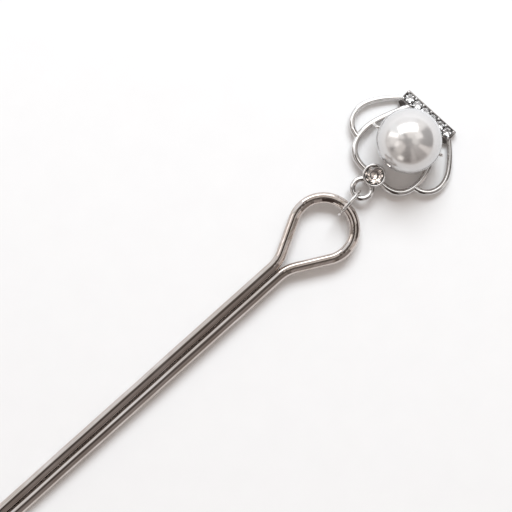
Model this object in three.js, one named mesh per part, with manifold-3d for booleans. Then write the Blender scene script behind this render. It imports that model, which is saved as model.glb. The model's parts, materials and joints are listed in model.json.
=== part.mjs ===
// Hair pin with a hanging crown charm: one folded wire, a jump ring and a stone-set crown round a pearl.
// Millimetres, +Z up. +X runs along the pin from its tips to the charm, and +Y is the pin's left side.
// The object lies on its flat side: the tips, the ring and the pearl touch the plane Z = 0.
import * as THREE from 'three'
import { mergeVertices } from 'three/addons/utils/BufferGeometryUtils.js'
import Module from 'manifold-3d'

const wasm = await Module()
wasm.setup()

// Clearance between soldered or set pieces that are separate solids.
const GAP = 0.05

// Pin: one wire folded at its middle into a teardrop eye, with both legs side by side.
const PIN_LENGTH = 120
const PIN_WIRE_R = 0.85
const LEG_OFFSET = 0.87
const EYE_R = 4.75
const EYE_TAPER = THREE.MathUtils.degToRad(28.5)
const NECK_R = 6
const EYE_APEX_Z = 1.65

// Jump ring, standing on edge with the eye's wire at one end of it and the charm at the other.
const RING_OUTER_R = 2.6
const RING_WIRE_R = 0.23
const RING_SEAT_ANGLE = THREE.MathUtils.degToRad(3)
const CHARM_YAW = THREE.MathUtils.degToRad(6)

// Crown charm, in its own frame: origin at the eyelet's centre, +X towards the band, Z from the ground.
// The jump ring holds the eyelet up, so the arches slope down from the finial to the band on the ground.
const EYELET_R = 1.5
const EYELET_WIRE_R = 0.44
const EYELET_Z = EYE_APEX_Z
const FINIAL_X = 2.68
const FINIAL_CUP_R = 1.8
const FINIAL_CUP_BASE_Z = 0.5
const FINIAL_CUP_TOP_Z = 2.6
const FINIAL_STONE_R = 1.45
const PEARL_R = 5
const PEARL_X = 9.95
const PEARL_Y = -0.38
const PEARL_HOLE_R = 0.45
const PEARL_WIRE_R = 0.25
const PEARL_WIRE_TURN = THREE.MathUtils.degToRad(-71.6)
const FRAME_FINIAL_Z = 1.25
const FRAME_BAND_Z = 0.56
const ARCH_R = 0.5
const ARCH_START_Y = 1.86
const ARCH_START_X = 2.53
const ARCH_WIDEST_Y = 5.8
const ARCH_WIDEST_X = 6.58
const ARCH_END_Y = 2.95
const PETAL_R = 0.44
const PETAL_START_Y = 5.6
const PETAL_START_X = 5.45
const PETAL_WIDEST_Y = 8.66
const PETAL_WIDEST_X = 8.5
const PETAL_END_Y = 4.5
const BAND_X = 15.05
const BAND_LENGTH = 9.8
const BAND_WIDTH = 1.9
const BAND_BASE_Z = 0
const BAND_TOP_Z = 1.1
const BAND_STONE_COUNT = 6
const BAND_STONE_PITCH = 1.52
const BAND_STONE_R = 0.66
const BEAD_R = 0.2

// Facets round each kind of section.
const PIN_SIDES = 16
const FRAME_SIDES = 12
const FINE_SIDES = 8

// ---- materials -------------------------------------------------------------------------------

function polishedMetal() {
  return new THREE.MeshStandardMaterial({ color: 0xa9a6a4, roughness: 0.12, metalness: 1 })
}

function pearlCoat() {
  return new THREE.MeshStandardMaterial({ color: 0xe9e7e6, roughness: 0.18, metalness: 0 })
}

function clearStone() {
  return new THREE.MeshStandardMaterial({ color: 0xf4f4f6, roughness: 0.03, metalness: 0 })
}

// ---- solids ----------------------------------------------------------------------------------

function toSolid(geometry) {
  const bare = geometry.clone()
  bare.deleteAttribute('normal')
  bare.deleteAttribute('uv')
  const merged = mergeVertices(bare, 1e-5)
  const mesh = new wasm.Mesh({
    numProp: 3,
    vertProperties: merged.attributes.position.array,
    triVerts: new Uint32Array(merged.index.array),
  })
  return new wasm.Manifold(mesh)
}

function toGeometry(solid) {
  const mesh = solid.getMesh()
  const geometry = new THREE.BufferGeometry()
  geometry.setAttribute('position', new THREE.BufferAttribute(new Float32Array(mesh.vertProperties), 3))
  geometry.setIndex(new THREE.BufferAttribute(new Uint32Array(mesh.triVerts), 1))
  geometry.computeVertexNormals()
  return geometry
}

function addPiece(group, name, geometry, material) {
  const mesh = new THREE.Mesh(geometry, material)
  mesh.name = name
  group.add(mesh)
  return mesh
}

// A regular section with a flat facing straight down.
function roundSection(radius, sides) {
  const shape = new THREE.Shape()
  for (let i = 0; i < sides; i += 1) {
    const angle = (i + 0.5) * 2 * Math.PI / sides
    const x = radius * Math.cos(angle)
    const y = radius * Math.sin(angle)
    if (i === 0) shape.moveTo(x, y)
    else shape.lineTo(x, y)
  }
  shape.closePath()
  return shape
}

function sweep(path, radius, sides, steps) {
  const section = roundSection(radius, sides)
  return new THREE.ExtrudeGeometry(section, { steps, extrudePath: path, bevelEnabled: false })
}

function lathe(profile, sides) {
  const points = profile.map(([radius, z]) => new THREE.Vector2(radius, z))
  const geometry = new THREE.LatheGeometry(points, sides)
  geometry.rotateX(Math.PI / 2)
  return geometry
}

// ---- pin -------------------------------------------------------------------------------------

// The wire's centre line, flat in XY: straight legs with no points between their ends, and stations
// every few degrees round the neck bends and the eye.
class PinPath extends THREE.Curve {
  constructor(tipX) {
    super()
    this.stations = []
    const eyeEnd = Math.PI / 2 + EYE_TAPER
    const slantRun = (EYE_R * Math.cos(EYE_TAPER) - LEG_OFFSET) / Math.sin(EYE_TAPER)
    const cornerX = -EYE_R * Math.sin(EYE_TAPER) - slantRun * Math.cos(EYE_TAPER)
    const bendX = cornerX - NECK_R * Math.tan(EYE_TAPER / 2)
    const neckSteps = 5
    const eyeSteps = 28

    this.addStation(tipX, -LEG_OFFSET, 0)
    for (let i = 0; i <= neckSteps; i += 1) {
      const turn = EYE_TAPER * i / neckSteps
      this.addStation(bendX + NECK_R * Math.sin(turn), -LEG_OFFSET - NECK_R * (1 - Math.cos(turn)), -turn)
    }
    for (let i = 0; i <= eyeSteps; i += 1) {
      const angle = -eyeEnd + 2 * eyeEnd * i / eyeSteps
      this.addStation(EYE_R * Math.cos(angle), EYE_R * Math.sin(angle), angle + Math.PI / 2)
    }
    for (let i = neckSteps; i >= 0; i -= 1) {
      const turn = EYE_TAPER * i / neckSteps
      this.addStation(bendX + NECK_R * Math.sin(turn), LEG_OFFSET + NECK_R * (1 - Math.cos(turn)), turn + Math.PI)
    }
    this.addStation(tipX, LEG_OFFSET, Math.PI)
  }

  addStation(x, y, heading) {
    this.stations.push({
      point: new THREE.Vector3(x, y, 0),
      tangent: new THREE.Vector3(Math.cos(heading), Math.sin(heading), 0),
    })
  }

  stationAt(t) {
    return this.stations[Math.round(t * (this.stations.length - 1))]
  }

  getPoint(t) {
    return this.stationAt(t).point.clone()
  }

  getSpacedPoints() {
    return this.stations.map((station) => station.point.clone())
  }

  getTangentAt(t) {
    return this.stationAt(t).tangent.clone()
  }
}

function buildPin(group) {
  const tipX = EYE_R + PIN_WIRE_R - PIN_LENGTH + PIN_WIRE_R
  const path = new PinPath(tipX)
  let solid = toSolid(sweep(path, PIN_WIRE_R, PIN_SIDES, path.stations.length - 1))
  for (const side of [-1, 1]) {
    const dome = new THREE.SphereGeometry(PIN_WIRE_R * 0.985, PIN_SIDES, 8)
    dome.rotateZ(Math.PI / 2)
    dome.translate(tipX, side * LEG_OFFSET, 0)
    solid = solid.add(toSolid(dome))
  }
  addPiece(group, 'pin_wire', toGeometry(solid), polishedMetal())
  // The eye rides on the ring, so the pin slopes down from there to its tips.
  const slope = Math.asin((EYE_APEX_Z - PIN_WIRE_R) / (EYE_R - tipX))
  group.rotation.y = -slope
  group.position.z = EYE_APEX_Z - EYE_R * Math.sin(slope)
}

// ---- jump ring -------------------------------------------------------------------------------

const RING_CENTRE_R = RING_OUTER_R - RING_WIRE_R
const RING_INNER_R = RING_OUTER_R - 2 * RING_WIRE_R
// How far the ring's centre lies past the eye's wire, when that wire bears on the ring's inside.
const RING_DROP = RING_OUTER_R - EYE_APEX_Z
const RING_REACH = Math.sqrt((RING_INNER_R - PIN_WIRE_R - GAP) ** 2 - RING_DROP ** 2)

function buildJumpRing(group) {
  const ring = new THREE.TorusGeometry(RING_CENTRE_R, RING_WIRE_R, FINE_SIDES, 28)
  ring.rotateX(Math.PI / 2)
  const mesh = addPiece(group, 'jump_ring', ring, polishedMetal())
  mesh.position.set(RING_REACH, 0, RING_OUTER_R)
}

// ---- crown charm -----------------------------------------------------------------------------

function finialCupEnvelope(clearance) {
  const height = FINIAL_CUP_TOP_Z - FINIAL_CUP_BASE_Z + 2 * clearance
  const envelope = new THREE.CylinderGeometry(FINIAL_CUP_R + clearance, FINIAL_CUP_R + clearance, height, 32)
  envelope.rotateX(Math.PI / 2)
  envelope.translate(FINIAL_X, 0, (FINIAL_CUP_TOP_Z + FINIAL_CUP_BASE_Z) / 2)
  return toSolid(envelope)
}

function bandEnvelope(clearance) {
  const size = [BAND_WIDTH, BAND_LENGTH, BAND_TOP_Z - BAND_BASE_Z].map((side) => side + 2 * clearance)
  const envelope = new THREE.BoxGeometry(...size)
  envelope.translate(BAND_X, 0, (BAND_TOP_Z + BAND_BASE_Z) / 2)
  return toSolid(envelope)
}

function buildEyelet(group) {
  const ring = new THREE.TorusGeometry(EYELET_R, EYELET_WIRE_R, FRAME_SIDES, 28)
  ring.translate(0, 0, EYELET_Z)
  const solid = toSolid(ring).subtract(finialCupEnvelope(GAP))
  addPiece(group, 'eyelet', toGeometry(solid), polishedMetal())
}

// Bezel cup with a seat for the stone and a thin upright wall round it.
function buildFinialCup(group) {
  const wall = 0.25
  const seatZ = FINIAL_CUP_TOP_Z - 0.45
  const floorZ = FINIAL_CUP_BASE_Z + 0.4
  const profile = [
    [0, FINIAL_CUP_BASE_Z],
    [FINIAL_CUP_R - 0.3, FINIAL_CUP_BASE_Z],
    [FINIAL_CUP_R, FINIAL_CUP_BASE_Z + 0.3],
    [FINIAL_CUP_R, FINIAL_CUP_TOP_Z - 0.1],
    [FINIAL_CUP_R - 0.1, FINIAL_CUP_TOP_Z],
    [FINIAL_CUP_R - wall, FINIAL_CUP_TOP_Z - 0.1],
    [FINIAL_CUP_R - wall, seatZ],
    [0.3, floorZ],
    [0, floorZ],
  ]
  const mesh = addPiece(group, 'finial_cup', lathe(profile, 24), polishedMetal())
  mesh.position.x = FINIAL_X
}

// Brilliant-cut stone: table, crown facets, thin girdle and a pointed back. Its origin is at the girdle.
function brilliant(radius, facets) {
  const girdle = 0.05 * radius
  return lathe([
    [0, -0.75 * radius],
    [radius, -girdle],
    [radius, girdle],
    [0.58 * radius, 0.33 * radius],
    [0, 0.33 * radius],
  ], facets)
}

function buildFinialStone(group) {
  const mesh = addPiece(group, 'finial_stone', brilliant(FINIAL_STONE_R, 16), clearStone())
  mesh.position.set(FINIAL_X, 0, FINIAL_CUP_TOP_Z - 0.22)
}

// A point of the arches' sloping centre plane.
function onFrame(x, y) {
  return new THREE.Vector3(x, y, THREE.MathUtils.mapLinear(x, FINIAL_X, BAND_X, FRAME_FINIAL_Z, FRAME_BAND_Z))
}

// Inner arch: out of the finial cup, round its widest point and back in under the pearl to the band.
function archPath(side) {
  const widest = onFrame(ARCH_WIDEST_X, side * ARCH_WIDEST_Y)
  const path = new THREE.CurvePath()
  path.add(new THREE.CubicBezierCurve3(
    onFrame(ARCH_START_X, side * ARCH_START_Y),
    onFrame(ARCH_START_X - 0.1, side * (ARCH_START_Y + 2.6)),
    onFrame(ARCH_WIDEST_X - 2.55, side * ARCH_WIDEST_Y),
    widest,
  ))
  path.add(new THREE.CubicBezierCurve3(
    widest,
    onFrame(ARCH_WIDEST_X + 2, side * ARCH_WIDEST_Y),
    onFrame(BAND_X - 3.75, side * (ARCH_END_Y + 1.6)),
    onFrame(BAND_X, side * (ARCH_END_Y - 0.4)),
  ))
  return path
}

// Outer arch: starts on the side of the inner arch and runs round to the end of the band.
function petalPath(side) {
  const widest = onFrame(PETAL_WIDEST_X, side * PETAL_WIDEST_Y)
  const path = new THREE.CurvePath()
  path.add(new THREE.CubicBezierCurve3(
    onFrame(PETAL_START_X, side * PETAL_START_Y),
    onFrame(PETAL_START_X - 0.05, side * (PETAL_START_Y + 1.8)),
    onFrame(PETAL_WIDEST_X - 1.7, side * PETAL_WIDEST_Y),
    widest,
  ))
  path.add(new THREE.CubicBezierCurve3(
    widest,
    onFrame(PETAL_WIDEST_X + 2, side * PETAL_WIDEST_Y),
    onFrame(BAND_X - 2.55, side * (PETAL_END_Y + 2.4)),
    onFrame(BAND_X - 0.4, side * PETAL_END_Y),
  ))
  return path
}

function buildArches(group) {
  for (const [label, side] of [['left', 1], ['right', -1]]) {
    const arch = toSolid(sweep(archPath(side), ARCH_R, FRAME_SIDES, 30))
      .subtract(finialCupEnvelope(GAP))
      .subtract(bandEnvelope(GAP))
    addPiece(group, `arch_${label}`, toGeometry(arch), polishedMetal())

    const archWithClearance = toSolid(sweep(archPath(side), ARCH_R + GAP, FRAME_SIDES, 30))
    const petal = toSolid(sweep(petalPath(side), PETAL_R, FRAME_SIDES, 28))
      .subtract(archWithClearance)
      .subtract(bandEnvelope(GAP))
    const pieces = petal.decompose().sort((a, b) => b.volume() - a.volume())
    addPiece(group, `petal_${label}`, toGeometry(pieces[0]), polishedMetal())
  }
}

function stoneY(index) {
  return (index - (BAND_STONE_COUNT - 1) / 2) * BAND_STONE_PITCH
}

// Band: a bar with a round seat for each stone, and a row of beads along each edge between the stones.
function buildBand(group) {
  const seatDepth = 0.62
  const size = [BAND_WIDTH, BAND_LENGTH, BAND_TOP_Z - BAND_BASE_Z]
  const bar = new THREE.BoxGeometry(...size)
  bar.translate(0, 0, (BAND_TOP_Z + BAND_BASE_Z) / 2)
  let solid = toSolid(bar)
  for (let i = 0; i < BAND_STONE_COUNT; i += 1) {
    const seat = new THREE.CylinderGeometry(BAND_STONE_R + GAP, BAND_STONE_R + GAP, 2 * seatDepth, 16)
    seat.rotateX(Math.PI / 2)
    seat.translate(0, stoneY(i), BAND_TOP_Z)
    solid = solid.subtract(toSolid(seat))
  }
  for (let i = 0; i <= BAND_STONE_COUNT; i += 1) {
    for (const edge of [-1, 1]) {
      const bead = new THREE.SphereGeometry(BEAD_R, FINE_SIDES, 6)
      bead.translate(edge * (BAND_WIDTH / 2 - BEAD_R - 0.05), stoneY(i - 0.5), BAND_TOP_Z)
      solid = solid.add(toSolid(bead))
    }
  }
  const mesh = addPiece(group, 'band', toGeometry(solid), polishedMetal())
  mesh.position.x = BAND_X
}

function buildBandStones(group) {
  for (let i = 0; i < BAND_STONE_COUNT; i += 1) {
    const mesh = addPiece(group, `band_stone_${i + 1}`, brilliant(BAND_STONE_R, FINE_SIDES), clearStone())
    mesh.position.set(BAND_X, stoneY(i), BAND_TOP_Z + 0.05)
  }
}

// Pearl with a drilled hole, threaded on a cross wire whose ends bend down to the two inner arches.
function buildPearl(group) {
  const hole = new THREE.CylinderGeometry(PEARL_HOLE_R, PEARL_HOLE_R, 2 * PEARL_R + 1, FRAME_SIDES)
  const ball = new THREE.SphereGeometry(PEARL_R, 40, 24)
  const mesh = addPiece(group, 'pearl', toGeometry(toSolid(ball).subtract(toSolid(hole))), pearlCoat())
  mesh.position.set(PEARL_X, PEARL_Y, PEARL_R)
  mesh.rotation.z = Math.PI / 2 + PEARL_WIRE_TURN
}

function buildPearlWire(group) {
  const centre = new THREE.Vector3(PEARL_X, PEARL_Y, PEARL_R)
  const footHeight = new THREE.Vector3(0, 0, ARCH_R + GAP)
  const straight = PEARL_R + 0.1
  const elbow = PEARL_R + 0.55
  const elbowDrop = 0.8
  const onWire = (distance, drop) => new THREE.Vector3(
    centre.x + distance * Math.cos(PEARL_WIRE_TURN),
    centre.y + distance * Math.sin(PEARL_WIRE_TURN),
    centre.z - drop,
  )
  const rightFoot = onFrame(11.5, -4.62).add(footHeight)
  const leftFoot = onFrame(8.55, 5.42).add(footHeight)
  const path = new THREE.CurvePath()
  path.add(new THREE.CubicBezierCurve3(
    rightFoot, onWire(elbow, elbowDrop), onWire(elbow, 0), onWire(straight, 0),
  ))
  path.add(new THREE.LineCurve3(onWire(straight, 0), onWire(-straight, 0)))
  path.add(new THREE.CubicBezierCurve3(
    onWire(-straight, 0), onWire(-elbow, 0), onWire(-elbow, elbowDrop), leftFoot,
  ))
  addPiece(group, 'pearl_wire', sweep(path, PEARL_WIRE_R, FINE_SIDES, 40), polishedMetal())
}

function buildCharm(group) {
  buildEyelet(group)
  buildFinialCup(group)
  buildFinialStone(group)
  buildArches(group)
  buildBand(group)
  buildBandStones(group)
  buildPearl(group)
  buildPearlWire(group)
}

// ---- assembly --------------------------------------------------------------------------------

const object = new THREE.Group()

const pin = new THREE.Group()
buildPin(pin)
object.add(pin)

// The ring and the charm lie along one line that leaves the eye's wire a little left of its apex.
const link = new THREE.Group()
link.position.set(EYE_R * Math.cos(RING_SEAT_ANGLE), EYE_R * Math.sin(RING_SEAT_ANGLE), 0)
link.rotation.z = CHARM_YAW
buildJumpRing(link)
object.add(link)

// The eyelet's hole bears on the far side of the ring, level with the eyelet.
const RING_FAR_X = RING_REACH + Math.sqrt(RING_CENTRE_R ** 2 - RING_DROP ** 2)
const charm = new THREE.Group()
charm.position.x = RING_FAR_X + EYELET_R - EYELET_WIRE_R - RING_WIRE_R - GAP
buildCharm(charm)
link.add(charm)

// The origin is under the middle of the whole object.
object.updateMatrixWorld(true)
const box = new THREE.Box3().setFromObject(object, true)
const shift = new THREE.Vector3(-(box.min.x + box.max.x) / 2, -(box.min.y + box.max.y) / 2, -box.min.z)
for (const child of object.children) child.position.add(shift)

export default object
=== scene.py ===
# Hair pin with a hanging crown charm: a folded chrome wire, a jump ring and a stone-set crown with a pearl.
# Metres, in the CAD frame: +X from the pin's tips to the charm, +Y to its left, +Z up from the surface.
import math
import json

import bmesh
import bpy
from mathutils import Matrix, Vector

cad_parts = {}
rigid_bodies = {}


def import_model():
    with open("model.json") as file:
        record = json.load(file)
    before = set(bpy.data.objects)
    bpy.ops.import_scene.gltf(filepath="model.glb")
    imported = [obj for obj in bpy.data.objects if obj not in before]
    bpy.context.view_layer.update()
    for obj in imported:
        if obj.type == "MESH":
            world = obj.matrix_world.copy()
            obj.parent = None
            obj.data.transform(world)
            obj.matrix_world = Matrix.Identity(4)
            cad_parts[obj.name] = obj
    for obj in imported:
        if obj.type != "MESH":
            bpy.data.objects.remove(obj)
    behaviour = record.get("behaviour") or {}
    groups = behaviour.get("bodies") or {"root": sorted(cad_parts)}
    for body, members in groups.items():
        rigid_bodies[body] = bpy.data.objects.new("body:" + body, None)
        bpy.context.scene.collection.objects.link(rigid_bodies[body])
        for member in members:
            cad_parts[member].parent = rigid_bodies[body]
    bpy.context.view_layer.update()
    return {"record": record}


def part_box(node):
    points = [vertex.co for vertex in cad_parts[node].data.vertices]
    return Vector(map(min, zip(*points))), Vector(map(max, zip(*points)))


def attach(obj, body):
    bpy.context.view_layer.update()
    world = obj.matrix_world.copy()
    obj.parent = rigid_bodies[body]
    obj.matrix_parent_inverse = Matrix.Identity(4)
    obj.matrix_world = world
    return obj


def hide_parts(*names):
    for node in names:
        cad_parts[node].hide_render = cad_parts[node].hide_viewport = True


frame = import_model()

MM = 0.001
UP = Vector((0, 0, 1))

# ---- sizes, in millimetres ----------------------------------------------------------------------

# Clearance between soldered or set pieces in the CAD model.
GAP = 0.05

PIN_WIRE_R = 0.85
LEG_OFFSET = 0.87
EYE_R = 4.75
EYE_TAPER = math.radians(28.5)
NECK_R = 6.0

RING_SEAT_ANGLE = math.radians(3)
RING_OUTER_R = 2.6
RING_WIRE_R = 0.23
RING_CUT_ANGLE = math.radians(118)
RING_CUT_WIDTH = 0.06

EYELET_R = 1.5
EYELET_WIRE_R = 0.44
EYELET_OPENING = math.radians(34)

# Heights of the arches' centre plane over the finial and the band.
FRAME_FINIAL_Z = 1.25
FRAME_BAND_Z = 0.56

FINIAL_CUP_R = 1.8
FINIAL_FOOT_R = 0.35
FINIAL_LIP_R = 0.18
FINIAL_STONE_R = 1.45
FINIAL_STONE_INSET = 0.11
FINIAL_STONE_DROP = 0.22

ARCH_R = 0.5
PETAL_R = 0.44
# The crown's wires are slightly flatter than they are wide.
WIRE_FLATNESS = 0.96

BAND_LENGTH = 9.8
BAND_WIDTH = 1.9
BAND_HEIGHT = 1.1
BAND_CORNER_R = 0.22
BAND_EDGE_R = 0.08
BAND_STONE_COUNT = 6
BAND_STONE_PITCH = 1.52
BAND_STONE_R = 0.66
BAND_STONE_OVERLAP = 0.03
SEAT_DEPTH = 0.62
GRAIN_R = 0.24
GRAIN_OFFSET = 0.62

# A corner web's outline on the left side, (x, y) on the charm, and its heights.
WEB_OUTLINE = [(13.55, 4.9), (14.16, 4.85), (14.16, 3.1), (13.55, 3.25), (13.1, 4.0)]
WEB_BASE_Z = 0.25
WEB_TOP_Z = 0.8
WEB_BEVEL = 0.06

PEARL_R = 5.0
PEARL_HOLE_R = 0.45
PEARL_WIRE_R = 0.25
# Where the pearl's wire stands on the arches, (x, y) on the charm.
RIGHT_FOOT = (11.5, -4.62)
LEFT_FOOT = (8.55, 5.42)

# ---- places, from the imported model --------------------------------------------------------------

joints = {joint["name"]: joint for joint in frame["record"]["behaviour"]["joints"]}
eye_seat = Vector(joints["ring_swing"]["pos_m"])
ring_far = Vector(joints["charm_swing"]["pos_m"])
pearl_centre = Vector(joints["pearl_spin"]["pos_m"])
pearl_axis = Vector(joints["pearl_spin"]["axis"]).normalized()
link_axis = (ring_far - eye_seat).normalized()
link_side = UP.cross(link_axis)
seat_direction = Vector((math.cos(RING_SEAT_ANGLE), math.sin(RING_SEAT_ANGLE), 0))
eye_centre = eye_seat - EYE_R * MM * seat_direction
charm_origin = ring_far + (EYELET_R - EYELET_WIRE_R - RING_WIRE_R - GAP) * MM * link_axis


def box_centre(node):
    low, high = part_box(node)
    return (Vector(low) + Vector(high)) / 2


finial_centre = box_centre("finial_cup")
finial_top_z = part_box("finial_cup")[1][2] / MM
band_centre = box_centre("band")
band_base_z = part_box("band")[0][2] / MM
band_top_z = band_base_z + BAND_HEIGHT
band_x = (band_centre - charm_origin).dot(link_axis) / MM
finial_x = (finial_centre - charm_origin).dot(link_axis) / MM

# The crown's wires on the left side, (x, y) on the charm. Each is two Bezier curves, of four control points,
# that share their middle point, where the wire is widest.
petal_end_x = band_x - 0.4
ARCH_CONTROLS = [(2.53, 1.70), (2.43, 4.46), (4.03, 5.8), (6.58, 5.8),
                 (8.58, 5.8), (band_x - 3.75, 4.55), (band_x, 2.55)]
PETAL_CONTROLS = [(5.45, 5.6), (5.40, 7.4), (6.8, 8.66), (8.5, 8.66),
                  (10.5, 8.66), (petal_end_x - 2.15, 6.9), (petal_end_x, 4.5)]
# Steps of each wire's two curves.
ARCH_STEPS = (36, 44)
PETAL_STEPS = (36, 40)
# Steps left off an arch's end, so that it stops in the band's wall, and off a petal's start, so that it stays
# inside the arch.
ARCH_STEPS_CUT = 3
PETAL_STEPS_CUT = 2


def on_charm(x, y, z):
    """A point of the charm: x from the eyelet's centre towards the band, y to the left, z from the ground."""
    point = charm_origin + x * MM * link_axis + y * MM * link_side
    point.z = z * MM
    return point


def on_frame(x, y):
    """A point of the arches' sloping centre plane."""
    slope = (FRAME_BAND_Z - FRAME_FINIAL_Z) / (band_x - finial_x)
    return on_charm(x, y, FRAME_FINIAL_Z + slope * (x - finial_x))


# ---- the view -----------------------------------------------------------------------------------

# The camera looks straight down, turned about the vertical. VIEW_WIDTH is what it sees of the floor, across.
VIEW_TURN = math.radians(-41.85)
VIEW_CENTRE = eye_centre + MM * Vector((-10.39, 3.78, 0))
VIEW_WIDTH = 78.1 * MM
VIEW_HEIGHT = 0.45
IMAGE_RIGHT = Vector((math.cos(VIEW_TURN), math.sin(VIEW_TURN), 0))
IMAGE_UP = Vector((-math.sin(VIEW_TURN), math.cos(VIEW_TURN), 0))

# ---- mesh code ----------------------------------------------------------------------------------

def make_piece(name, verts, faces, material, smooth=True):
    """A mesh object from points in metres and faces as lists of indices."""
    mesh = bpy.data.meshes.new(name)
    mesh.from_pydata([tuple(v) for v in verts], [], faces)
    mesh.update()
    for polygon in mesh.polygons:
        polygon.use_smooth = smooth
    mesh.materials.append(material)
    piece = bpy.data.objects.new(name, mesh)
    bpy.context.scene.collection.objects.link(piece)
    return piece


def face_outwards(piece):
    """Turns all the normals of a closed mesh outwards, and gives the piece back."""
    bm = bmesh.new()
    bm.from_mesh(piece.data)
    bmesh.ops.recalc_face_normals(bm, faces=bm.faces)
    bm.to_mesh(piece.data)
    bm.free()
    return piece


def join_meshes(parts):
    """Joins (verts, faces) pairs into one."""
    verts = []
    faces = []
    for part_verts, part_faces in parts:
        start = len(verts)
        verts += part_verts
        faces += [[index + start for index in face] for face in part_faces]
    return verts, faces


def tube(points, radii, plane_normal, sides=32, closed=False, round_ends=True, squash=1.0):
    """A tube along points that lie roughly in one plane. squash flattens the section along plane_normal."""
    count = len(points)
    # Each ring is its centre, its direction and its radius.
    rings = []
    for i, point in enumerate(points):
        before = points[(i - 1) % count] if closed else points[max(i - 1, 0)]
        after = points[(i + 1) % count] if closed else points[min(i + 1, count - 1)]
        rings.append((point, (after - before).normalized(), radii[i]))
    if round_ends and not closed:
        dome_steps = 6
        # The last ring of a dome stops short of the pole by this part of a step, and a flat face closes it.
        pole_gap = 0.35
        start, start_way, start_r = rings[0]
        end, end_way, end_r = rings[-1]
        start_dome = []
        end_dome = []
        for k in range(dome_steps, 0, -1):
            angle = math.pi / 2 * k / (dome_steps + pole_gap)
            reach, narrow = math.sin(angle), math.cos(angle)
            start_dome.append((start - start_way * start_r * reach, start_way, start_r * narrow))
            end_dome.append((end + end_way * end_r * reach, end_way, end_r * narrow))
        rings = start_dome + rings + end_dome[::-1]
    verts = []
    for point, tangent, radius in rings:
        across = plane_normal.cross(tangent).normalized()
        for k in range(sides):
            angle = 2 * math.pi * k / sides
            spoke = math.cos(angle) * across + squash * math.sin(angle) * plane_normal
            verts.append(point + radius * spoke)
    faces = []
    ring_count = len(rings)
    for i in range(ring_count if closed else ring_count - 1):
        a = i * sides
        b = ((i + 1) % ring_count) * sides
        for k in range(sides):
            m = (k + 1) % sides
            faces.append([a + k, a + m, b + m, b + k])
    if not closed:
        faces.append(list(range(sides))[::-1])
        faces.append(list(range((ring_count - 1) * sides, ring_count * sides)))
    return verts, faces


def lathe(profile, centre, axis=UP, sides=64, closed=False):
    """Turns a profile of (radius, height), in millimetres, round an axis through centre."""
    helper = Vector((1, 0, 0)) if abs(axis.x) < 0.9 else Vector((0, 1, 0))
    first = axis.cross(helper).normalized()
    second = axis.cross(first)
    verts = []
    rows = []
    for radius, height in profile:
        if radius <= 0:
            rows.append([len(verts)])
            verts.append(centre + height * MM * axis)
            continue
        rows.append(list(range(len(verts), len(verts) + sides)))
        for k in range(sides):
            angle = 2 * math.pi * k / sides
            spoke = math.cos(angle) * first + math.sin(angle) * second
            verts.append(centre + height * MM * axis + radius * MM * spoke)
    faces = []
    pairs = list(zip(rows, rows[1:])) + ([(rows[-1], rows[0])] if closed else [])
    for low, high in pairs:
        for k in range(sides):
            m = (k + 1) % sides
            if len(low) == 1:
                faces.append([low[0], high[m], high[k]])
            elif len(high) == 1:
                faces.append([low[k], low[m], high[0]])
            else:
                faces.append([low[k], low[m], high[m], high[k]])
    return verts, faces


def bezier(p0, p1, p2, p3, steps):
    """Points of a cubic Bezier curve, both ends included."""
    points = []
    for i in range(steps + 1):
        t = i / steps
        s = 1 - t
        points.append(s * s * s * p0 + 3 * s * s * t * p1 + 3 * s * t * t * p2 + t * t * t * p3)
    return points


def arc_profile(centre_r, centre_z, radius, start, end, steps):
    """Points of a circular arc in a lathe profile, angles in degrees from the outward direction."""
    points = []
    for i in range(steps + 1):
        angle = math.radians(start + (end - start) * i / steps)
        points.append((centre_r + radius * math.cos(angle), centre_z + radius * math.sin(angle)))
    return points


# ---- node helpers -------------------------------------------------------------------------------

class Nodes:
    """Short calls to make and join shader nodes in one tree."""

    def __init__(self, tree):
        self.tree = tree
        tree.nodes.clear()

    def add(self, kind, **settings):
        node = self.tree.nodes.new(kind)
        for key, value in settings.items():
            setattr(node, key, value)
        return node

    def link(self, source, target):
        self.tree.links.new(source, target)

    def feed(self, socket, value):
        """Links a socket's value, or sets a plain one."""
        if isinstance(value, bpy.types.NodeSocket):
            self.link(value, socket)
        else:
            socket.default_value = value

    def math(self, operation, a, b=0.0, c=0.0):
        node = self.add("ShaderNodeMath", operation=operation)
        for socket, value in zip(node.inputs, (a, b, c)):
            self.feed(socket, value)
        return node.outputs[0]

    def spread(self, value, from_low, from_high, to_low, to_high, smooth=False):
        """Maps one range on to another, and clamps outside it."""
        node = self.add("ShaderNodeMapRange")
        if smooth:
            node.interpolation_type = "SMOOTHSTEP"
        for socket, number in zip(node.inputs[:5], (value, from_low, from_high, to_low, to_high)):
            self.feed(socket, number)
        return node.outputs[0]

    def mix(self, factor, a, b):
        node = self.add("ShaderNodeMix", data_type="RGBA")
        self.feed(node.inputs[0], factor)
        self.feed(node.inputs[6], a)
        self.feed(node.inputs[7], b)
        return node.outputs[2]

    def noise(self, vector, scale, detail=3.0, roughness=0.5):
        node = self.add("ShaderNodeTexNoise")
        self.link(vector, node.inputs["Vector"])
        node.inputs["Scale"].default_value = scale
        node.inputs["Detail"].default_value = detail
        node.inputs["Roughness"].default_value = roughness
        return node.outputs["Fac"]


def new_material(name):
    """A material with a Principled shader: gives it, its nodes, the shader and the object coordinates."""
    material = bpy.data.materials.new(name)
    material.use_nodes = True
    nodes = Nodes(material.node_tree)
    shader = nodes.add("ShaderNodeBsdfPrincipled")
    output = nodes.add("ShaderNodeOutputMaterial")
    nodes.link(shader.outputs[0], output.inputs["Surface"])
    place = nodes.add("ShaderNodeTexCoord").outputs["Object"]
    return material, nodes, shader, place


# ---- materials ----------------------------------------------------------------------------------

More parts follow.
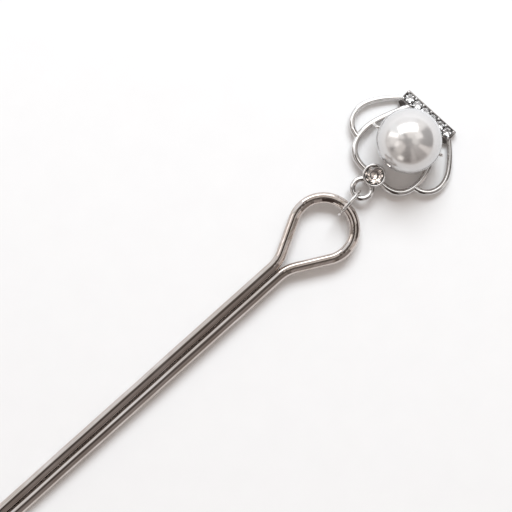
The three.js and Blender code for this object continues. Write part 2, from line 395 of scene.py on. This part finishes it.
def add_bump(nodes, shader, height, strength, distance):
    bump = nodes.add("ShaderNodeBump")
    bump.inputs["Strength"].default_value = strength
    bump.inputs["Distance"].default_value = distance
    nodes.link(height, bump.inputs["Height"])
    nodes.link(bump.outputs[0], shader.inputs["Normal"])


def chrome(name, tint, stretch=(1, 1, 1), wear=1.0, streak=0.25):
    """Polished plating: cloudy tint, brown streaks, patches of haze, polishing lines and soft dents.

    stretch draws the lines, streaks and dents out along an axis, wear roughens, and streak is the most
    that a streak covers.
    """
    cloud_shade = (0.82, 0.79, 0.77)
    streak_shade = (0.62, 0.58, 0.50)
    smoothest = 0.035
    material, nodes, shader, place = new_material(name)
    mapping = nodes.add("ShaderNodeMapping")
    mapping.inputs["Scale"].default_value = stretch
    nodes.link(place, mapping.inputs["Vector"])
    along = mapping.outputs[0]
    cloud = nodes.noise(place, 260.0, 4.0)
    haze = nodes.noise(place, 1400.0, 5.0, 0.6)
    lines = nodes.noise(along, 5200.0, 3.0, 0.65)
    dents = nodes.noise(along, 420.0, 2.0)
    streaks = nodes.noise(along, 3600.0, 2.0)
    dark = [channel * shade for channel, shade in zip(tint, cloud_shade)]
    brown = [channel * shade for channel, shade in zip(tint, streak_shade)]
    clouded = nodes.mix(nodes.spread(cloud, 0.35, 0.7, 0.0, 1.0), (*dark, 1), (*tint, 1))
    streaked = nodes.mix(nodes.spread(streaks, 0.45, 0.70, 0.0, streak), clouded, (*brown, 1))
    nodes.link(streaked, shader.inputs["Base Color"])
    shader.inputs["Metallic"].default_value = 1.0
    rough = nodes.math("ADD", nodes.spread(haze, 0.4, 0.75, smoothest, smoothest + 0.09 * wear),
                       nodes.spread(lines, 0.5, 0.8, 0.0, 0.05 * wear))
    nodes.link(rough, shader.inputs["Roughness"])
    height = nodes.math("ADD", nodes.math("MULTIPLY", lines, 0.10), nodes.math("MULTIPLY", dents, 0.9))
    add_bump(nodes, shader, height, strength=0.35, distance=0.000012)
    return material


def pearl_coat():
    """Nacre: a body part mirror and part milky that cools towards its rim, under a clear coat."""
    milky, creamy = (0.78, 0.755, 0.735, 1), (0.73, 0.70, 0.675, 1)
    rim_colour = (0.53, 0.555, 0.585, 1)
    material, nodes, shader, place = new_material("pearl_coat")
    cloud = nodes.noise(place, 170.0, 3.0)
    fine = nodes.noise(place, 900.0, 3.0)
    rim = nodes.add("ShaderNodeLayerWeight")
    rim.inputs["Blend"].default_value = 0.35
    body = nodes.mix(nodes.spread(cloud, 0.35, 0.65, 0.0, 1.0), creamy, milky)
    cool = nodes.mix(rim.outputs["Facing"], body, rim_colour)
    nodes.link(cool, shader.inputs["Base Color"])
    shader.inputs["Metallic"].default_value = 0.62
    nodes.link(nodes.spread(cloud, 0.3, 0.7, 0.13, 0.19), shader.inputs["Roughness"])
    shader.inputs["Coat Weight"].default_value = 0.5
    shader.inputs["Coat Roughness"].default_value = 0.06
    shader.inputs["Coat IOR"].default_value = 1.5
    add_bump(nodes, shader, fine, strength=0.25, distance=0.00001)
    return material


def crystal():
    """Clear cut glass with a trace of haze."""
    material, nodes, shader, place = new_material("crystal")
    haze = nodes.noise(place, 900.0, 2.0)
    nodes.link(nodes.mix(haze, (0.95, 0.95, 0.96, 1), (1, 1, 1, 1)), shader.inputs["Base Color"])
    shader.inputs["Transmission Weight"].default_value = 1.0
    shader.inputs["IOR"].default_value = 1.62
    nodes.link(nodes.spread(haze, 0.45, 0.7, 0.0, 0.03), shader.inputs["Roughness"])
    return material


def crystal_foil(name, dull, clear, polish, matt):
    """The mirror foil on a stone's back, seen through it, between two colours and two roughnesses."""
    material, nodes, shader, place = new_material(name)
    haze = nodes.noise(place, 1500.0, 2.0)
    nodes.link(nodes.mix(haze, (*dull, 1), (*clear, 1)), shader.inputs["Base Color"])
    shader.inputs["Metallic"].default_value = 1.0
    nodes.link(nodes.spread(haze, 0.3, 0.7, polish, matt), shader.inputs["Roughness"])
    return material


def paper():
    """The pale matt surface that the pin lies on."""
    material, nodes, shader, place = new_material("paper")
    grain = nodes.noise(place, 220.0, 4.0)
    shade = nodes.mix(grain, (0.90, 0.90, 0.90, 1), (0.93, 0.93, 0.93, 1))
    nodes.link(shade, shader.inputs["Base Color"])
    shader.inputs["Roughness"].default_value = 0.9
    shader.inputs["Specular IOR Level"].default_value = 0.1
    return material


pin_metal = chrome("pin_plating", (0.70, 0.645, 0.62), stretch=(0.03, 1, 1), wear=0.7, streak=0.7)
charm_metal = chrome("charm_plating", (0.765, 0.765, 0.77), wear=0.6)
# The band, its grains and the corner webs get a darker copy of the crown's plating: painted shade that darkens
# the band.
band_shaded_metal = chrome("band_shaded_plating", (0.66, 0.66, 0.665), wear=0.8)
ring_metal = chrome("ring_plating", (0.78, 0.775, 0.77), wear=0.8)
# A near-black copy of the plating, used only as painted shade: in the finial cup's inner wall, in the band's
# seats and as a dark reflection on the band's top.
painted_shade_metal = chrome("painted_shade_plating", (0.20, 0.19, 0.185), wear=1.5)
pearl_material = pearl_coat()
stone_material = crystal()
bright_foil = crystal_foil("bright_foil", (0.95, 0.89, 0.85), (1.0, 0.965, 0.935), 0.03, 0.08)
soft_foil = crystal_foil("soft_foil", (0.91, 0.91, 0.91), (0.98, 0.98, 0.985), 0.10, 0.22)

# ---- pin ----------------------------------------------------------------------------------------

def pin_outline():
    """The wire's centre line in the pin's own plane, from one tip round the eye to the other."""
    tip_x = (Vector(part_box("pin_wire")[0]) - eye_centre).x / MM + PIN_WIRE_R
    slant_run = (EYE_R * math.cos(EYE_TAPER) - LEG_OFFSET) / math.sin(EYE_TAPER)
    bend_x = (-EYE_R * math.sin(EYE_TAPER) - slant_run * math.cos(EYE_TAPER)
              - NECK_R * math.tan(EYE_TAPER / 2))
    leg_step = 1.5
    neck_steps = 16
    eye_steps = 110
    leg_count = int((bend_x - tip_x) / leg_step)
    half = []
    for i in range(leg_count):
        x = tip_x + (bend_x - tip_x) * i / leg_count
        half.append((x, LEG_OFFSET))
    for i in range(neck_steps + 1):
        turn = EYE_TAPER * i / neck_steps
        half.append((bend_x + NECK_R * math.sin(turn), LEG_OFFSET + NECK_R * (1 - math.cos(turn))))
    eye_end = math.pi / 2 + EYE_TAPER
    eye = []
    for i in range(eye_steps + 1):
        angle = eye_end - 2 * eye_end * i / eye_steps
        eye.append((EYE_R * math.cos(angle), EYE_R * math.sin(angle)))
    return half + eye + [(x, -y) for x, y in half[::-1]]


def hand_bent(x, y):
    """How far the wire strays sideways and up from its outline. The strays fade in past the eye's neck."""
    fade_start, fade_length = 12, 6
    fade = min(1.0, max(0.0, (-x - fade_start) / fade_length))
    sway = 0.010 * math.sin(0.21 * x + 0.6) + 0.006 * math.sin(0.57 * x)
    lift = 0.008 * math.sin(0.33 * x + 1.1 + 0.8 * math.copysign(1, y))
    return sway * fade, lift * fade


def build_pin():
    """The folded wire, which slopes down from its eye to its tips on the ground."""
    low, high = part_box("pin_wire")
    slope = (eye_seat.z - PIN_WIRE_R * MM - low[2]) / (high[0] - low[0] - 2 * PIN_WIRE_R * MM)
    points = []
    for x, y in pin_outline():
        sway, lift = hand_bent(x, y)
        z = eye_seat.z + slope * (x - EYE_R) * MM
        points.append(Vector((eye_centre.x + x * MM, eye_centre.y + (y + sway) * MM, z + lift * MM)))
    radii = [PIN_WIRE_R * MM * (1 + 0.004 * math.sin(1.7 * i)) for i in range(len(points))]
    verts, faces = tube(points, radii, UP, sides=48)
    piece = face_outwards(make_piece("pin_wire_drawn", verts, faces, pin_metal))
    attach(piece, "pin")
    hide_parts("pin_wire")


# ---- jump ring ----------------------------------------------------------------------------------

def build_jump_ring():
    """A round ring of thin wire, with the cut where it was opened."""
    centre = box_centre("jump_ring")
    radius = RING_OUTER_R - RING_WIRE_R
    cut_half = RING_CUT_WIDTH / 2 / radius
    steps = 120
    points = []
    for i in range(steps + 1):
        angle = RING_CUT_ANGLE + cut_half + (2 * math.pi - 2 * cut_half) * i / steps
        points.append(centre + radius * MM * (math.cos(angle) * link_axis + math.sin(angle) * UP))
    radii = [RING_WIRE_R * MM] * len(points)
    verts, faces = tube(points, radii, link_side, sides=24, round_ends=False)
    piece = face_outwards(make_piece("jump_ring_cut", verts, faces, ring_metal))
    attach(piece, "jump_ring")
    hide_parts("jump_ring")


# ---- crown --------------------------------------------------------------------------------------

def finish_charm_piece(piece, node, body="charm"):
    """Puts a piece on its body in place of a CAD node, and hides the node."""
    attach(piece, body)
    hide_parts(node)


def build_eyelet():
    """The ring that the jump ring holds. It thickens where it is soldered to the finial cup."""
    z = box_centre("eyelet").z / MM
    steps = 90
    points = []
    radii = []
    for i in range(steps + 1):
        angle = EYELET_OPENING + (2 * math.pi - 2 * EYELET_OPENING) * i / steps
        points.append(on_charm(EYELET_R * math.cos(angle), EYELET_R * math.sin(angle), z))
        near_cup = max(0.0, math.cos(angle) - 0.45)
        radii.append((EYELET_WIRE_R + 0.35 * near_cup * near_cup) * MM)
    verts, faces = tube(points, radii, UP, sides=32)
    finish_charm_piece(face_outwards(make_piece("eyelet_cast", verts, faces, charm_metal)), "eyelet")


def paint_recess_shade(piece, centre, radius, height):
    """Gives the faces within radius of an upright axis, above height, the near-black plating: painted shade of a
    deep corner.
    """
    piece.data.materials.append(painted_shade_metal)
    for polygon in piece.data.polygons:
        away = polygon.center - centre
        if away.z > height * MM and math.hypot(away.x, away.y) < radius * MM:
            polygon.material_index = 1


def build_finial_cup():
    """Bezel cup: rounded foot, upright wall and a rolled lip that holds the stone."""
    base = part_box("finial_cup")[0][2] / MM
    top = finial_top_z
    outer = FINIAL_CUP_R
    foot = FINIAL_FOOT_R
    lip = FINIAL_LIP_R
    wall = outer - 0.02
    seat_edge_r, seat_edge_z = outer - 2 * lip - 0.04, top - 0.42
    seat_floor_r, seat_floor_z = 0.35, top - 1.5
    profile = [(0, base)]
    profile += arc_profile(outer - foot, base + foot, foot, -90, 0, 6)
    profile += [(wall, base + 0.9), (wall, top - 0.5)]
    profile += arc_profile(outer - lip, top - lip, lip, 0, 165, 10)
    profile += [(seat_edge_r, seat_edge_z), (seat_floor_r, seat_floor_z), (0, seat_floor_z)]
    centre = Vector((finial_centre.x, finial_centre.y, 0))
    verts, faces = lathe(profile, centre, sides=72)
    piece = face_outwards(make_piece("finial_bezel", verts, faces, charm_metal))
    # Painted shade: the cup's inner wall gets the near-black plating, a dark ring round the stone.
    paint_recess_shade(piece, centre, outer - 1.75 * lip, base + 0.5)
    finish_charm_piece(piece, "finial_cup")


def brilliant(name, centre, radius, folds, turn, node, foil):
    """Brilliant cut: table, star, kite and girdle facets over a mirrored back of two facet rows.

    folds is how many times the pattern repeats round the stone, and turn is the angle it starts at.
    """
    table_r, table_z = 0.56 * radius, 0.34 * radius
    crown_r, crown_z = 0.80 * radius, 0.20 * radius
    girdle_z = 0.03 * radius
    back_r, back_z = 0.78 * radius, -0.20 * radius
    point_z = -0.74 * radius

    def ring(r, z, count, offset):
        out = []
        for k in range(count):
            angle = turn + 2 * math.pi * (k + offset) / count
            out.append(centre + MM * Vector((r * math.cos(angle), r * math.sin(angle), z)))
        return out

    n = folds
    verts = ring(table_r, table_z, n, 0) + ring(crown_r, crown_z, n, 0.5)
    verts += ring(radius, girdle_z, 2 * n, 0) + ring(radius, -girdle_z, 2 * n, 0)
    verts += ring(back_r, back_z, n, 0.5)
    verts.append(centre + MM * Vector((0, 0, point_z)))
    table, crown, top, low, back, point = 0, n, 2 * n, 4 * n, 6 * n, 7 * n
    faces = [list(range(n))]
    back_faces = []
    for k in range(n):
        m = (k + 1) % n
        faces.append([table + k, crown + k, table + m])
        faces.append([table + m, crown + k, top + 2 * m, crown + m])
        faces.append([crown + k, top + 2 * k, top + 2 * k + 1])
        faces.append([crown + k, top + 2 * k + 1, top + 2 * m])
        back_faces.append([back + k, low + 2 * k, low + 2 * k + 1])
        back_faces.append([back + k, low + 2 * k + 1, low + 2 * m])
        back_faces.append([back + k, low + 2 * m, back + m, point])
    for k in range(2 * n):
        m = (k + 1) % (2 * n)
        faces.append([top + k, low + k, low + m, top + m])
    piece = make_piece(name, verts, faces + back_faces, stone_material, smooth=False)
    piece.data.materials.append(foil)
    for polygon in piece.data.polygons[len(faces):]:
        polygon.material_index = 1
    face_outwards(piece)
    finish_charm_piece(piece, node)


def crown_curve(controls, steps, side):
    """A crown wire's centre line, from its start round its widest point to the band."""
    points = [on_frame(x, side * y) for x, y in controls]
    first = bezier(*points[:4], steps[0])
    second = bezier(*points[3:], steps[1])
    return first + second[1:]


def build_crown_wire(name, node, points, radii):
    verts, faces = tube(points, radii, UP, squash=WIRE_FLATNESS)
    piece = face_outwards(make_piece(name, verts, faces, charm_metal))
    finish_charm_piece(piece, node)


def build_arches():
    """The inner arches, which taper towards the band, and the petals, which flare where they start."""
    for label, side in (("left", 1), ("right", -1)):
        points = crown_curve(ARCH_CONTROLS, ARCH_STEPS, side)
        last = len(points) - 1
        points = points[:-ARCH_STEPS_CUT]
        radii = [ARCH_R * MM * (1.05 - 0.10 * i / last) for i in range(len(points))]
        build_crown_wire(f"arch_{label}_cast", f"arch_{label}", points, radii)
        points = crown_curve(PETAL_CONTROLS, PETAL_STEPS, side)[PETAL_STEPS_CUT:]
        radii = [PETAL_R * MM * (1.0 + 0.10 * math.exp(-i / 4)) for i in range(len(points))]
        build_crown_wire(f"petal_{label}_cast", f"petal_{label}", points, radii)


def stone_y(index):
    """Where a stone of the band lies along it. Halves are the gaps between stones."""
    return (index - (BAND_STONE_COUNT - 1) / 2) * BAND_STONE_PITCH


def ball(x, y, z, radius):
    """A bead on the charm."""
    rows = 8
    profile = []
    for i in range(rows + 1):
        angle = math.pi * i / rows
        profile.append((radius * math.sin(angle), -radius * math.cos(angle)))
    profile[0] = (0, profile[0][1])
    profile[-1] = (0, profile[-1][1])
    return lathe(profile, on_charm(x, y, z), sides=14)


def rounded_bar(x0, x1, y0, y1, z0, z1, corner, soft):
    """A bar with rounded corners in plan, and bottom and top edges softened by soft."""
    centre_x, centre_y = (x0 + x1) / 2, (y0 + y1) / 2
    corner_steps = 4
    outline = []
    for corner_x, corner_y, start in ((x1, y1, 0), (x0, y1, 90), (x0, y0, 180), (x1, y0, 270)):
        turn_x = corner_x - math.copysign(corner, corner_x - centre_x)
        turn_y = corner_y - math.copysign(corner, corner_y - centre_y)
        for k in range(corner_steps + 1):
            angle = math.radians(start + 90 / corner_steps * k)
            outline.append((turn_x + corner * math.cos(angle), turn_y + corner * math.sin(angle)))
    rows = [(z0, soft), (z0 + soft, 0), (z1 - soft, 0), (z1 - soft / 3, soft / 3), (z1, soft)]
    verts = []
    for z, inset in rows:
        for x, y in outline:
            inset_x = x - math.copysign(inset, x - centre_x)
            inset_y = y - math.copysign(inset, y - centre_y)
            verts.append(on_charm(inset_x, inset_y, z))
    count = len(outline)
    faces = [list(range(count))[::-1], list(range(count * (len(rows) - 1), count * len(rows)))]
    for row in range(len(rows) - 1):
        for k in range(count):
            m = (k + 1) % count
            low, high = row * count, (row + 1) * count
            faces.append([low + k, low + m, high + m, high + k])
    return verts, faces


def cut(piece, cutters):
    """Subtracts the cutter meshes from the piece for good."""
    for verts, faces in cutters:
        cutter = face_outwards(make_piece("cutter", verts, faces, charm_metal))
        modifier = piece.modifiers.new("cut", "BOOLEAN")
        modifier.operation = "DIFFERENCE"
        modifier.solver = "EXACT"
        modifier.object = cutter
        evaluated = piece.evaluated_get(bpy.context.evaluated_depsgraph_get())
        mesh = bpy.data.meshes.new_from_object(evaluated)
        piece.modifiers.clear()
        piece.data = mesh
        bpy.data.objects.remove(cutter)


def build_band():
    """Bar with round seats, painted shade in the seats and a painted dark reflection on the top between them,
    and the grains that hold the stones.
    """
    top = band_top_z
    half_l = BAND_LENGTH / 2
    half_w = BAND_WIDTH / 2
    bar = rounded_bar(band_x - half_w, band_x + half_w, -half_l, half_l, band_base_z, top,
                      BAND_CORNER_R, BAND_EDGE_R)
    piece = face_outwards(make_piece("band_setting", *bar, band_shaded_metal))
    seat_centres = [on_charm(band_x, stone_y(i), 0) for i in range(BAND_STONE_COUNT)]
    seat = [(0, top - SEAT_DEPTH), (BAND_STONE_R * 0.45, top - SEAT_DEPTH), (BAND_STONE_R + 0.05, top - 0.08),
            (BAND_STONE_R + 0.06, top + 0.3), (0, top + 0.3)]
    cut(piece, [lathe(seat, seat_centre, sides=36) for seat_centre in seat_centres])
    # Painted shade in the seats, under the stones.
    for seat_centre in seat_centres:
        paint_recess_shade(piece, seat_centre, BAND_STONE_R, band_base_z + 0.1)
    # Painted dark reflection: the band's flat top gets the same near-black plating.
    for polygon in piece.data.polygons:
        if polygon.normal.z > 0.95:
            polygon.material_index = 1
    beads = []
    for i in range(BAND_STONE_COUNT + 1):
        for edge in (-1, 1):
            beads.append(ball(band_x + edge * GRAIN_OFFSET, stone_y(i - 0.5), top + 0.02, GRAIN_R))
    verts, faces = join_meshes(beads)
    grains = face_outwards(make_piece("band_grains", verts, faces, band_shaded_metal))
    finish_charm_piece(piece, "band")
    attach(grains, "charm")


def build_corner_webs():
    """The flat webs that fill the corners between the band, the ends of the arches and the petals."""
    for label, side in (("left", 1), ("right", -1)):
        low = [on_charm(x, side * y, WEB_BASE_Z) for x, y in WEB_OUTLINE]
        high = [on_charm(x, side * y, WEB_TOP_Z) for x, y in WEB_OUTLINE]
        count = len(WEB_OUTLINE)
        faces = [list(range(count)), list(range(count, 2 * count))]
        for k in range(count):
            m = (k + 1) % count
            faces.append([k, m, count + m, count + k])
        web = make_piece(f"corner_web_{label}", low + high, faces, band_shaded_metal, smooth=False)
        face_outwards(web)
        bevel = web.modifiers.new("bevel", "BEVEL")
        bevel.width = WEB_BEVEL * MM
        bevel.segments = 3
        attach(web, "charm")


def build_stones():
    """The finial's stone, and the band's, each turned a little further than the one before it."""
    centre = Vector((finial_centre.x, finial_centre.y, (finial_top_z - FINIAL_STONE_DROP) * MM))
    brilliant("finial_brilliant", centre, FINIAL_STONE_R - FINIAL_STONE_INSET, folds=8, turn=0.3,
              node="finial_stone", foil=bright_foil)
    for i in range(BAND_STONE_COUNT):
        centre = on_charm(band_x, stone_y(i), band_top_z + 0.03)
        brilliant(f"band_brilliant_{i + 1}", centre, BAND_STONE_R + BAND_STONE_OVERLAP, folds=6,
                  turn=0.5 + 0.37 * i, node=f"band_stone_{i + 1}", foil=soft_foil)


# ---- pearl --------------------------------------------------------------------------------------

def build_pearl():
    """Drilled pearl: a ball with a through hole that narrows just inside its edges."""
    edge = math.degrees(math.acos(PEARL_HOLE_R / PEARL_R))
    bore_r = PEARL_HOLE_R * 0.85
    funnel = 0.12
    profile = []
    steps = 120
    for i in range(steps + 1):
        angle = math.radians(-edge + 2 * edge * i / steps)
        profile.append((PEARL_R * math.cos(angle), PEARL_R * math.sin(angle)))
    depth = PEARL_R * math.sin(math.radians(edge))
    profile.append((bore_r, depth - funnel))
    profile.append((bore_r, -depth + funnel))
    verts, faces = lathe(profile, pearl_centre, axis=pearl_axis, sides=160, closed=True)
    piece = face_outwards(make_piece("pearl_drilled", verts, faces, pearl_material))
    finish_charm_piece(piece, "pearl", body="pearl")


def build_pearl_wire():
    """The wire through the pearl, bent down at each end to its foot on an inner arch."""
    foot_height = (ARCH_R - 0.05) * MM * UP
    straight = PEARL_R + 0.1
    elbow = PEARL_R + 0.55
    drop = Vector((0, 0, -0.8 * MM))
    bend_steps, straight_steps = 16, 12

    def on_wire(distance):
        return pearl_centre + distance * MM * pearl_axis

    right_foot = on_frame(*RIGHT_FOOT) + foot_height
    left_foot = on_frame(*LEFT_FOOT) + foot_height
    points = bezier(right_foot, on_wire(elbow) + drop, on_wire(elbow), on_wire(straight), bend_steps)
    points += [on_wire(straight * (1 - 2 * k / straight_steps)) for k in range(1, straight_steps)]
    points += bezier(on_wire(-straight), on_wire(-elbow), on_wire(-elbow) + drop, left_foot, bend_steps)
    normal = pearl_axis.cross(UP).normalized()
    radii = [PEARL_WIRE_R * MM] * len(points)
    verts, faces = tube(points, radii, normal, sides=20)
    piece = face_outwards(make_piece("pearl_wire_bent", verts, faces, ring_metal))
    finish_charm_piece(piece, "pearl_wire")


build_pin()
build_jump_ring()
build_eyelet()
build_finial_cup()
build_arches()
build_band()
build_corner_webs()
build_stones()
build_pearl()
build_pearl_wire()

# ---- floor, light and camera --------------------------------------------------------------------

FLOOR_HALF = 0.9
# What matt surfaces see of the room, what the camera sees past the floor, and the room's own two shades,
# which only reflections show.
FILL_COLOUR = (0.465, 0.415, 0.385)
BACKDROP_COLOUR = (0.97, 0.97, 0.97)
ROOM_DARK = (0.07, 0.056, 0.05)
ROOM_LIGHT = (0.20, 0.18, 0.17)
# What shines or darkens in the room, in the order painted. In degrees: its middle and half width round the view,
# counterclockwise from the image's right, from and to above the floor, and its softness. Then its colour.
ROOM_PATCHES = [
    ((0, 180, -10, 9, 5), (0.50, 0.46, 0.44)),
    ((8, 52, 57, 92, 8), (0.66, 0.64, 0.62)),
    ((84, 38, 44, 92, 6), (0.72, 0.69, 0.66)),
    ((30, 20, 42, 66, 4), (1.05, 1.02, 1.00)),
    ((54, 14, -5, 62, 6), (0.85, 0.83, 0.81)),
    ((98, 30, -8, 42, 4), (0.92, 0.92, 0.93)),
    ((158, 11, 10, 46, 4), (1.75, 1.73, 1.72)),
    ((160, 12, 46, 68, 5), (0.75, 0.72, 0.70)),
    ((140, 13, -8, 58, 4), (0.97, 1.00, 1.02)),
    ((-165, 14, 32, 62, 5), (0.86, 0.82, 0.80)),
    ((180, 12, 14, 42, 5), (0.46, 0.43, 0.41)),
    ((-138, 15, 24, 66, 5), (0.62, 0.58, 0.55)),
    ((-130, 16, -5, 26, 5), (0.44, 0.41, 0.39)),
    ((-100, 13, 6, 72, 4), (0.06, 0.045, 0.04)),
    ((-165, 42, 72, 92, 5), (0.03, 0.022, 0.02)),
    ((-52, 12, 8, 48, 4), (0.28, 0.25, 0.235)),
    ((-48, 16, 50, 66, 4), (0.34, 0.31, 0.295)),
    ((-28, 9, -5, 54, 3), (0.78, 0.73, 0.70)),
    ((-76, 8, 4, 62, 3), (0.40, 0.365, 0.35)),
    ((8, 22, 2, 38, 4), (0.10, 0.085, 0.08)),
    ((-117, 8, 9, 25, 3), (1.35, 1.30, 1.25)),
    ((0, 180, 82, 95, 2.5), (0.09, 0.08, 0.075)),
]


def build_floor():
    half = FLOOR_HALF
    verts = [(-half, -half, 0), (half, -half, 0), (half, half, 0), (-half, half, 0)]
    floor = make_piece("floor", verts, [[0, 1, 2, 3]], paper())


def add_light(name, target, bearing, height, distance, size, radiance, colour=(1.0, 1.0, 1.0)):
    """An area light aimed at target from a bearing round the view and a height, both in degrees."""
    data = bpy.data.lights.new(name, "AREA")
    data.shape = "RECTANGLE"
    data.size, data.size_y = size
    data.energy = radiance * math.pi * size[0] * size[1]
    data.color = colour
    light = bpy.data.objects.new(name, data)
    around = math.radians(bearing)
    above = math.radians(height)
    level = math.cos(around) * IMAGE_RIGHT + math.sin(around) * IMAGE_UP
    direction = math.cos(above) * level + math.sin(above) * UP
    light.location = target + distance * direction
    light.rotation_euler = direction.to_track_quat("Z", "Y").to_euler()
    light.visible_camera = False
    bpy.context.scene.collection.objects.link(light)
    return light


def shine_on(light, pieces):
    """Turns a light into a card that shows only as a reflection in the given pieces."""
    light.visible_diffuse = False
    group = bpy.data.collections.new(light.name + "_receivers")
    for piece in pieces:
        group.objects.link(piece)
    light.light_linking.receiver_collection = group


def build_lights():
    """One soft key light for the floor and the shadows, and window cards for the shiny surfaces."""
    key = add_light("key", VIEW_CENTRE, bearing=81, height=46, distance=0.75, size=(0.52, 0.30),
                    radiance=11.5, colour=(0.90, 0.955, 1.0))
    key.visible_glossy = False
    wires = []
    crown = []
    for piece in bpy.data.objects:
        slots = [slot.material for slot in piece.material_slots]
        if pin_metal in slots or ring_metal in slots:
            wires.append(piece)
        if charm_metal in slots or band_shaded_metal in slots or stone_material in slots:
            crown.append(piece)
    pearl = [bpy.data.objects["pearl_drilled"]]
    low_window = add_light("low_window", VIEW_CENTRE, bearing=98, height=19, distance=0.60, size=(0.62, 0.30),
                           radiance=2.5)
    high_window = add_light("high_window", pearl_centre, bearing=98, height=45, distance=0.10,
                            size=(0.120, 0.058), radiance=1.6)
    ceiling_window = add_light("ceiling_window", pearl_centre, bearing=108, height=62, distance=0.12,
                               size=(0.14, 0.09), radiance=1.5)
    left_window = add_light("left_window", pearl_centre, bearing=178, height=28, distance=0.10,
                            size=(0.075, 0.085), radiance=0.45, colour=(1.0, 0.99, 0.98))
    shine_on(low_window, wires + crown)
    shine_on(high_window, pearl)
    shine_on(ceiling_window, crown)
    shine_on(left_window, pearl)


def build_world():
    """A dim warm room with bright windows for reflections, and an even warm fill for matt surfaces."""
    world = bpy.data.worlds.new("room")
    world.use_nodes = True
    bpy.context.scene.world = world
    nodes = Nodes(world.node_tree)
    output = nodes.add("ShaderNodeOutputWorld")
    direction = nodes.add("ShaderNodeTexCoord").outputs["Generated"]
    turn = nodes.add("ShaderNodeMapping", vector_type="POINT")
    turn.inputs["Rotation"].default_value = (0, 0, -VIEW_TURN)
    nodes.link(direction, turn.inputs["Vector"])
    split = nodes.add("ShaderNodeSeparateXYZ")
    nodes.link(turn.outputs[0], split.inputs[0])
    x, y, z = split.outputs
    bearing = nodes.math("MULTIPLY", nodes.math("ARCTAN2", y, x), 180 / math.pi)
    height = nodes.math("MULTIPLY", nodes.math("ARCSINE", z), 180 / math.pi)

    def patch(middle, half_width, height_low, height_high, soft):
        """1 inside a range of directions and 0 outside it, fading over soft on each side of its edges."""
        turned = nodes.math("WRAP", nodes.math("SUBTRACT", bearing, middle), 180, -180)
        away = nodes.math("ABSOLUTE", turned)
        sides = [nodes.spread(away, half_width - soft, half_width + soft, 1, 0, smooth=True),
                 nodes.spread(height, height_low - soft, height_low + soft, 0, 1, smooth=True),
                 nodes.spread(height, height_high - soft, height_high + soft, 1, 0, smooth=True)]
        return nodes.math("MULTIPLY", nodes.math("MULTIPLY", sides[0], sides[1]), sides[2])

    stripes = nodes.noise(turn.outputs[0], 3.4, 2.0)
    room = nodes.mix(nodes.spread(stripes, 0.40, 0.62, 0, 1), (*ROOM_DARK, 1), (*ROOM_LIGHT, 1))
    for shape, colour in ROOM_PATCHES:
        room = nodes.mix(patch(*shape), room, (*colour, 1))

    path = nodes.add("ShaderNodeLightPath")
    colour = nodes.mix(path.outputs["Is Diffuse Ray"], room, (*FILL_COLOUR, 1))
    colour = nodes.mix(path.outputs["Is Camera Ray"], colour, (*BACKDROP_COLOUR, 1))
    background = nodes.add("ShaderNodeBackground")
    nodes.link(colour, background.inputs["Color"])
    nodes.link(background.outputs[0], output.inputs["Surface"])


def build_camera():
    """The camera straight above, with a lens that sees VIEW_WIDTH of the floor."""
    data = bpy.data.cameras.new("camera")
    data.sensor_width = 36.0
    data.lens = data.sensor_width * VIEW_HEIGHT / VIEW_WIDTH
    data.clip_start = 0.01
    data.clip_end = 10.0
    camera = bpy.data.objects.new("camera", data)
    camera.location = VIEW_CENTRE
    camera.location.z = VIEW_HEIGHT
    camera.rotation_euler = (0, 0, VIEW_TURN)
    bpy.context.scene.collection.objects.link(camera)
    bpy.context.scene.camera = camera


build_floor()
build_world()
build_lights()
build_camera()
bpy.context.scene.view_settings.view_transform = "Standard"
